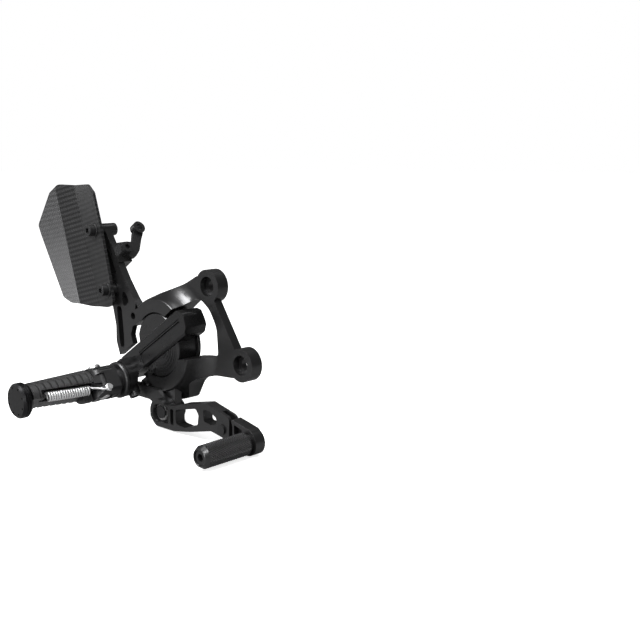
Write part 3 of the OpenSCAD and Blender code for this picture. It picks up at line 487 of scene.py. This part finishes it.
@dataclass
class MachinedPart:
    """A CAD node shown with its edges broken, as a machined part has.

    Args:
        node: The CAD node.
        edge: Width of the broken edge, in millimetres.
        smooth_angle: Edges under this angle are shaded round, in degrees.
    """

    node: str
    edge: float = 0.25
    smooth_angle: float = 32.0

    def build(self) -> bpy.types.Object:
        """Copy the node, merge it and break its sharp edges."""
        sharp = math.radians(self.smooth_angle)
        mesh = frame["nodes"][self.node].data.copy()
        shape = bmesh.new()
        shape.from_mesh(mesh)
        bmesh.ops.remove_doubles(shape, verts=shape.verts, dist=MERGE_DISTANCE)
        bmesh.ops.dissolve_limit(
            shape, angle_limit=FLAT_ANGLE, verts=shape.verts, edges=shape.edges
        )
        for face in shape.faces:
            face.smooth = True
        for edge in shape.edges:
            edge.smooth = edge.calc_face_angle(0.0) < sharp
        shape.to_mesh(mesh)
        shape.free()
        piece = new_piece(f"{self.node}_shown", mesh, frame["nodes"][self.node].active_material)
        bevel = piece.modifiers.new("edge", "BEVEL")
        bevel.width = self.edge * MM
        bevel.segments = EDGE_SEGMENTS
        bevel.limit_method = "ANGLE"
        bevel.angle_limit = sharp
        bevel.harden_normals = True
        bevel.use_clamp_overlap = True
        even = piece.modifiers.new("even", "WEIGHTED_NORMAL")
        even.mode = "FACE_AREA"
        even.weight = 100
        even.keep_sharp = True
        return baked(piece)

    def dress(self, finisher: Finisher) -> bpy.types.Object:
        """Build, colour and seat the part on its body."""
        return seat(self.build(), self.node, finisher)


def seat(piece: bpy.types.Object, node: str, finisher: Finisher) -> bpy.types.Object:
    """Colour a piece, let it stand for its CAD node and ride on that node's body."""
    piece.data.materials.clear()
    piece.data.materials.append(finisher.get(NODE_FINISH[node]))
    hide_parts(node)
    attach(piece, BODY_OF[node])
    log.info("%s: %d faces", piece.name, len(piece.data.polygons))
    return piece


@dataclass
class SubAssembly:
    """Machined parts that belong together.

    Args:
        parts: The parts with broken edges.
    """

    parts: tuple[MachinedPart, ...] = ()

    def dress(self, finisher: Finisher) -> None:
        """Build and dress every part."""
        for part in self.parts:
            part.dress(finisher)


@dataclass
class FramePlate(SubAssembly):
    """Plate on the motorcycle frame, with its rear arm's small parts and the heel guard."""

    parts: tuple[MachinedPart, ...] = (
        MachinedPart("base_plate", 0.35), MachinedPart("switch_bracket", 0.3),
        MachinedPart("heel_guard", 0.3, 14.0), MachinedPart("guard_spacers", 0.2),
        MachinedPart("guard_screws", 0.2),
    )


@dataclass
class Adjuster(SubAssembly):
    """Turned disc with the sliding bar."""

    parts: tuple[MachinedPart, ...] = (
        MachinedPart("adjuster_disc", 0.2), MachinedPart("disc_flange", 0.2),
        MachinedPart("carrier_bar", 0.3),
    )


@dataclass
class Footrest(SubAssembly):
    """Fork, ribbed barrel, cap and the tension spring.

    Args:
        parts: The parts with broken edges.
        start: Inner end of the coil's axis in the plate's frame, in millimetres.
        end: Outer end of the coil's axis.
        turns: Number of turns.
        turn_steps: Points of the wire's path in one turn.
        coil_r: Radius to the middle of the wire.
        wire_r: Radius of the wire.
        loop_r: Radius of the loop round the post.
        post: Middle of that loop.
    """

    parts: tuple[MachinedPart, ...] = (
        MachinedPart("peg_fork", 0.25), MachinedPart("peg_barrel", 0.15),
        MachinedPart("end_cap", 0.25), MachinedPart("hinge_pin", 0.2),
    )
    start: tuple[float, float, float] = (-87.6, -77.0, -0.5)
    end: tuple[float, float, float] = (-87.6, -110.0, 1.3)
    turns: int = 17
    turn_steps: float = 28.0
    coil_r: float = 3.2
    wire_r: float = 0.68
    loop_r: float = 2.3
    post: tuple[float, float, float] = (-81.6, -63.3, -3.1)

    def coil_tree(self) -> bpy.types.NodeTree:
        """Build the tree that winds the wire and adds it to the hooks."""
        n, start, end = geometry_tree("coil", {
            "Start": "Vector", "End": "Vector", "Turns": "Int", "Coil radius": "Float",
            "Wire radius": "Float", "Material": "Material",
        })
        take = start.outputs
        line = n.add("GeometryNodeCurvePrimitiveLine", {"Start": take["Start"], "End": take["End"]})
        count = n.math("MULTIPLY_ADD", take["Turns"], self.turn_steps, 1.0)
        points = n.add("GeometryNodeResampleCurve", {"Curve": line.outputs[0], "Count": count})
        step = n.add("GeometryNodeInputIndex").outputs[0]
        angle = n.math("MULTIPLY_ADD", step, math.tau / self.turn_steps, math.pi / 2.0)
        away = n.add("ShaderNodeCombineXYZ", {
            "X": n.math("MULTIPLY", n.math("COSINE", angle), take["Coil radius"]),
            "Z": n.math("MULTIPLY", n.math("SINE", angle), take["Coil radius"]),
        })
        moved = n.add("GeometryNodeSetPosition", {
            "Geometry": points.outputs[0], "Offset": away.outputs[0],
        })
        ring = n.add("GeometryNodeCurvePrimitiveCircle", {
            "Radius": take["Wire radius"], "Resolution": WIRE_SIDES,
        })
        wire = n.add("GeometryNodeCurveToMesh", {
            "Curve": moved.outputs[0], "Profile Curve": ring.outputs[0],
        })
        both = n.add("GeometryNodeJoinGeometry")
        n.join(take["Geometry"], both.inputs[0])
        n.join(wire.outputs[0], both.inputs[0])
        smooth = n.add("GeometryNodeSetShadeSmooth", {"Geometry": both.outputs[0]})
        end_tree(n, start, end, smooth.outputs[0])
        return n.tree

    def hooks(self) -> bpy.types.Mesh:
        """Sweep the wire from the coil to the post and to the cross pin."""
        sx, sy, sz = self.start
        ex, ey, ez = self.end
        px, py, pz = self.post
        round_post = [math.radians(a) for a in range(-200, 91, 18)]
        loop = [
            (px, py + self.loop_r * math.sin(a), pz + self.loop_r * math.cos(a)) for a in round_post
        ]
        inner = [
            *loop, (px - 0.4, py - 3.6, pz - 0.6), (sx + 3.4, sy + 6.6, sz - 1.2),
            (sx + 1.6, sy + 2.4, sz + 0.6), (sx + 0.4, sy + 0.6, sz + self.coil_r - 0.3),
            (sx, sy, sz + self.coil_r),
        ]
        outer = [
            (ex, ey, ez + self.coil_r), (ex - 0.6, ey - 0.4, ez + self.coil_r - 0.8),
            (ex - 0.3, ey - 0.9, ez + 1.2), (ex, ey - 1.2, ez + 0.4),
        ]
        shape = bmesh.new()
        for path in (inner, outer):
            sweep(shape, [Vector(p) for p in path], self.wire_r)
        mesh = bpy.data.meshes.new("hooks")
        shape.to_mesh(mesh)
        shape.free()
        return mesh

    def spring(self, finisher: Finisher) -> bpy.types.Object:
        """Build the spring as one wire that bends between the barrel and the post."""
        bright = finisher.get(NODE_FINISH["return_spring"])
        piece = new_piece("spring_shown", self.hooks(), bright)
        grow(piece, self.coil_tree(), {
            "Start": self.start, "End": self.end, "Turns": self.turns, "Coil radius": self.coil_r,
            "Wire radius": self.wire_r, "Material": bright,
        })
        piece.data.transform(PLATE_TO_ROW)
        piece.data.materials.clear()
        piece.data.materials.append(bright)
        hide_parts("return_spring")
        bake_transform(piece)
        log.info("%s: %d faces", piece.name, len(piece.data.polygons))
        return piece

    def dress(self, finisher: Finisher) -> None:
        """Dress the machined parts, then wind the spring."""
        super().dress(finisher)
        self.spring(finisher)


def sweep(shape: bmesh.types.BMesh, path: list[Vector], radius: float) -> None:
    """Sweep a round wire along a smoothed path, with closed ends.

    Args:
        shape: Mesh that takes the wire.
        path: Corner points.
        radius: Radius of the wire.
    """
    fine: list[Vector] = []
    for i in range(len(path) - 1):
        a, b = path[max(i - 1, 0)], path[i]
        c, d = path[i + 1], path[min(i + 2, len(path) - 1)]
        for k in range(PATH_STEPS):
            t = k / PATH_STEPS
            bend, twist = 2 * a - 5 * b + 4 * c - d, 3 * b - a - 3 * c + d
            fine.append(0.5 * (2 * b + (c - a) * t + bend * t * t + twist * t ** 3))
    fine.append(path[-1])
    rings = []
    side = (fine[1] - fine[0]).orthogonal().normalized()
    for i, point in enumerate(fine):
        ahead = (fine[min(i + 1, len(fine) - 1)] - fine[max(i - 1, 0)]).normalized()
        side = (side - ahead * side.dot(ahead)).normalized()
        up = ahead.cross(side)
        ring = []
        for k in range(WIRE_SIDES):
            t = math.tau * k / WIRE_SIDES
            ring.append(shape.verts.new(point + radius * (math.cos(t) * side + math.sin(t) * up)))
        rings.append(ring)
    for low, high in zip(rings, rings[1:]):
        for k in range(WIRE_SIDES):
            after = (k + 1) % WIRE_SIDES
            shape.faces.new((low[k], low[after], high[after], high[k]))
    shape.faces.new(list(reversed(rings[0])))
    shape.faces.new(rings[-1])


@dataclass
class BrakePedal(SubAssembly):
    """Pedal arm and toe link."""

    parts: tuple[MachinedPart, ...] = (
        MachinedPart("brake_pedal", 0.35), MachinedPart("toe_link", 0.3),
        MachinedPart("pivot_bolt", 0.25),
    )


@dataclass
class ToePeg:
    """Toe peg with a raised diamond knurl.

    Args:
        axis_x: Axis forward, in millimetres.
        axis_z: Axis up.
        inner_y: Inner end.
        outer_y: Outer end.
        radius: Radius over the knurl.
        depth: Height of the knurl.
        around: Diamonds around the peg.
        rows: Rows of diamonds along it.
        bore: Radius of the sunk head's bore.
        sunk: Depth of that bore.
        screw_r: Radius of the screw's hole.
        sides: Sides of the turned body.
    """

    axis_x: float = 49.515
    axis_z: float = -71.593
    inner_y: float = -34.0
    outer_y: float = -76.0
    radius: float = 8.0
    depth: float = 0.55
    around: int = 30
    rows: int = 35
    bore: float = 5.2
    sunk: float = 7.0
    screw_r: float = 3.2
    sides: int = 64

    def body(self) -> bpy.types.Mesh:
        """Turn the plain body about its axis, in millimetres from the inner end."""
        low = self.radius - self.depth
        length = self.inner_y - self.outer_y
        profile = [
            (self.screw_r, 0.0), (self.radius - 1.7, 0.0), (self.radius - 1.6, 0.1),
            (self.radius - 1.6, 1.5), (low, 2.5), (low, length - 3.2),
            (self.radius - 0.1, length - 3.0), (self.radius - 1.8, length - 0.15),
            (self.radius - 2.1, length), (self.bore + 0.25, length), (self.bore, length - 0.25),
            (self.bore, length - self.sunk), (self.screw_r, length - self.sunk),
        ]
        shape = bmesh.new()
        angles = [math.tau * k / self.sides for k in range(self.sides)]
        rings = []
        for r, h in profile:
            rings.append([shape.verts.new((r * math.cos(a), -h, r * math.sin(a))) for a in angles])
        for one, two in zip(rings, [*rings[1:], rings[0]]):
            for k in range(self.sides):
                after = (k + 1) % self.sides
                face = shape.faces.new((one[k], two[k], two[after], one[after]))
                face.smooth = False
        bmesh.ops.recalc_face_normals(shape, faces=shape.faces)
        mesh = bpy.data.meshes.new("toe_peg_body")
        shape.to_mesh(mesh)
        shape.free()
        return mesh

    def knurl_tree(self) -> bpy.types.NodeTree:
        """Build the tree that sets one small pyramid per diamond."""
        n, start, end = geometry_tree("knurl", {
            "Around": "Int", "Rows": "Int", "Radius": "Float", "Height": "Float",
            "First": "Float", "Last": "Float", "Material": "Material",
        })
        take = start.outputs
        count = n.math("MULTIPLY", take["Around"], take["Rows"])
        step = n.add("GeometryNodeInputIndex").outputs[0]
        row = n.math("FLOOR", n.math("DIVIDE", n.math("ADD", step, 0.5), take["Around"]))
        half = n.math("MULTIPLY", n.math("MODULO", row, 2.0), 0.5)
        part_turn = n.math("DIVIDE", n.math("ADD", step, half), take["Around"])
        angle = n.math("MULTIPLY", part_turn, math.tau)
        reach = n.math("SUBTRACT", take["Last"], take["First"])
        pitch = n.math("DIVIDE", reach, n.math("SUBTRACT", take["Rows"], 1.0))
        along = n.math("MULTIPLY_ADD", row, pitch, take["First"])
        cosine, sine = n.math("COSINE", angle), n.math("SINE", angle)
        outward = n.add("ShaderNodeCombineXYZ", {"X": cosine, "Z": sine})
        low = n.math("SUBTRACT", take["Radius"], take["Height"])
        place = n.add("ShaderNodeCombineXYZ", {
            "X": n.math("MULTIPLY", cosine, low), "Y": n.math("MULTIPLY", along, -1.0),
            "Z": n.math("MULTIPLY", sine, low),
        })
        points = n.add("GeometryNodePoints", {"Count": count, "Position": place.outputs[0]})
        pyramid = n.add("GeometryNodeMeshCone", {
            "Vertices": 4, "Side Segments": 1, "Radius Top": 0.12, "Radius Bottom": 1.0,
            "Depth": take["Height"],
        })
        sized = n.add("GeometryNodeTransform", {"Geometry": pyramid.outputs[0]})
        width = n.math("DIVIDE", n.math("MULTIPLY", low, math.pi), take["Around"])
        spread = n.add("ShaderNodeCombineXYZ", {"X": width, "Y": pitch, "Z": 1.0})
        n.join(spread.outputs[0], sized.inputs["Scale"])
        turn = n.add("FunctionNodeAxesToRotation", {
            "Primary Axis": outward.outputs[0], "Secondary Axis": (0.0, 1.0, 0.0),
        })
        turn.primary_axis, turn.secondary_axis = "Z", "Y"
        set_out = n.add("GeometryNodeInstanceOnPoints", {
            "Points": points.outputs[0], "Instance": sized.outputs[0], "Rotation": turn.outputs[0],
        })
        both = n.add("GeometryNodeJoinGeometry")
        n.join(take["Geometry"], both.inputs[0])
        n.join(set_out.outputs[0], both.inputs[0])
        end_tree(n, start, end, both.outputs[0])
        return n.tree

    def dress(self, finisher: Finisher) -> None:
        """Turn the body, knurl it and let it stand for the CAD node."""
        metal = finisher.get(NODE_FINISH["toe_peg"])
        piece = new_piece("toe_peg_shown", self.body(), metal)
        grow(piece, self.knurl_tree(), {
            "Around": self.around, "Rows": self.rows, "Radius": self.radius, "Height": self.depth,
            "First": 3.4, "Last": self.inner_y - self.outer_y - 4.1, "Material": metal,
        })
        to_axis = Matrix.Translation((self.axis_x, self.inner_y, self.axis_z))
        piece.data.transform(Matrix.Scale(MM, 4) @ to_axis)
        seat(piece, "toe_peg", finisher)


@dataclass
class Studio:
    """Camera, floor and soft light.

    Args:
        eye: Place of the camera, in metres.
        right: Its direction to the right.
        down: Its direction down.
        forward: Its direction of sight.
        lens: Focal length, in millimetres, on a sensor 36 wide.
        aim: Point that the lamps face.
        room: Light of the room on the object.
        lamps: Place, size and power of each lamp.
        floor_size: Width of the floor.
        floor_tones: Darkest and lightest tone of the floor.
        floor_bounce: Part of those tones that counts for light thrown back.
        glow_reach: Distances at which the floor's glow starts and stops growing.
        glow: Glow at those distances.
    """

    eye: tuple[float, float, float] = (0.4763, -0.4280, 0.1166)
    right: tuple[float, float, float] = (0.7381, 0.6748, 0.0021)
    down: tuple[float, float, float] = (0.1199, -0.1281, -0.9845)
    forward: tuple[float, float, float] = (-0.6641, 0.7268, -0.1755)
    lens: float = 50.0
    aim: tuple[float, float, float] = (-0.05, -0.06, 0.0)
    room: float = 0.12
    lamps: tuple[tuple[tuple[float, float, float], float, float], ...] = field(
        default=(
            ((-0.25, -0.6, 0.8), 0.4, 13.0),
            ((0.05, 0.2, 1.05), 0.6, 4.5),
            ((1.1, -0.1, 0.45), 0.45, 2.5),
            ((0.45, -0.6, 0.85), 0.35, 9.0),
            ((0.09, -1.1, 0.06), 0.35, 6.0),
            ((-1.1, -0.55, 0.28), 0.4, 1.8),
        )
    )
    floor_size: float = 30.0
    floor_tones: tuple[float, float] = (0.80, 0.83)
    floor_bounce: float = 0.35
    glow_reach: tuple[float, float] = (0.35, 1.1)
    glow: tuple[float, float] = (0.74, 0.98)

    def camera(self) -> None:
        """Set the camera at the photograph's place and angle."""
        data = bpy.data.cameras.new("camera")
        data.lens, data.sensor_width = self.lens, 36.0
        data.clip_start, data.clip_end = 0.01, 50.0
        camera = bpy.data.objects.new("camera", data)
        up = -Vector(self.down)
        turn = Matrix((Vector(self.right), up, -Vector(self.forward))).transposed().to_4x4()
        camera.matrix_world = Matrix.Translation(Vector(self.eye)) @ turn
        bpy.context.scene.collection.objects.link(camera)
        bpy.context.scene.camera = camera

    def lights(self) -> None:
        """Add large soft lamps and an even white room."""
        for i, (place, size, power) in enumerate(self.lamps):
            data = bpy.data.lights.new(f"soft_{i}", "AREA")
            data.shape, data.size, data.energy = "SQUARE", size, power
            lamp = bpy.data.objects.new(f"soft_{i}", data)
            lamp.location = place
            lamp.rotation_mode = "QUATERNION"
            lamp.rotation_quaternion = (Vector(self.aim) - Vector(place)).to_track_quat("-Z", "Y")
            bpy.context.scene.collection.objects.link(lamp)
        world = bpy.data.worlds.new("room")
        bpy.context.scene.world = world
        world.use_nodes = True
        n = Nodes(world.node_tree)
        back = world.node_tree.nodes["Background"]
        seen = n.add("ShaderNodeLightPath").outputs["Is Camera Ray"]
        n.join(n.math("MULTIPLY_ADD", seen, 1.0 - self.room, self.room), back.inputs["Strength"])
        back.inputs["Color"].default_value = (1.0, 1.0, 1.0, 1.0)

    def floor(self, height: float) -> None:
        """Lay the floor.

        Args:
            height: Its level, in metres.
        """
        bpy.ops.mesh.primitive_plane_add(size=self.floor_size, location=(0.0, 0.0, height))
        plane = bpy.context.object
        plane.name = "floor"
        material = bpy.data.materials.new("sweep")
        material.use_nodes = True
        tree = material.node_tree
        tree.nodes.clear()
        n = Nodes(tree)
        out = n.add("ShaderNodeOutputMaterial")
        matt = n.add("ShaderNodeBsdfDiffuse")
        coords = n.add("ShaderNodeTexCoord")
        grain = n.add("ShaderNodeTexNoise", {"Vector": coords.outputs["Object"], "Scale": 3.0})
        tint = n.add("ShaderNodeMix", data_type="RGBA")
        for socket, tone in zip("AB", self.floor_tones):
            tint.inputs[socket].default_value = (tone, tone, tone, 1.0)
        n.join(grain.outputs["Fac"], tint.inputs["Factor"])
        path = n.add("ShaderNodeLightPath")
        shade = n.add("ShaderNodeVectorMath", operation="SCALE")
        n.join(tint.outputs["Result"], shade.inputs[0])
        bounce = self.floor_bounce
        scale = n.math("MULTIPLY_ADD", path.outputs["Is Camera Ray"], 1.0 - bounce, bounce)
        n.join(scale, shade.inputs["Scale"])
        n.join(shade.outputs[0], matt.inputs["Color"])
        away = n.add("ShaderNodeVectorMath", operation="LENGTH")
        n.join(coords.outputs["Object"], away.inputs[0])
        far = n.add("ShaderNodeMapRange", {
            "Value": away.outputs["Value"],
            "From Min": self.glow_reach[0], "From Max": self.glow_reach[1],
            "To Min": self.glow[0], "To Max": self.glow[1],
        }, interpolation_type="SMOOTHSTEP")
        glow = n.add("ShaderNodeEmission")
        seen = n.math("MAXIMUM", path.outputs["Is Camera Ray"], path.outputs["Is Transmission Ray"])
        n.join(n.math("MULTIPLY", seen, far.outputs["Result"]), glow.inputs["Strength"])
        both = n.add("ShaderNodeAddShader")
        n.join(matt.outputs[0], both.inputs[0])
        n.join(glow.outputs[0], both.inputs[1])
        n.join(both.outputs[0], out.inputs["Surface"])
        plane.data.materials.append(material)
        plane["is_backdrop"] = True


def dress_cad_nodes(finisher: Finisher) -> None:
    """Give every CAD node that stays its finish."""
    for name, node in frame["nodes"].items():
        node.data.materials.clear()
        node.data.materials.append(finisher.get(NODE_FINISH[name]))
        log.info("finish of %s: %s", name, NODE_FINISH[name].name)


def main() -> None:
    """Build the studio, then each sub-assembly in order."""
    cad_low, cad_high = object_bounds()
    studio = Studio()
    studio.camera()
    studio.lights()
    studio.floor(cad_low.z - FLOOR_GAP)
    finisher = Finisher()
    dress_cad_nodes(finisher)
    for assembly in (FramePlate(), Adjuster(), Footrest(), BrakePedal(), ToePeg()):
        log.info("sub-assembly %s", type(assembly).__name__)
        assembly.dress(finisher)
    bpy.context.scene.view_settings.view_transform = "Standard"
    log.info("finished")


if __name__ == "__main__":
    main()
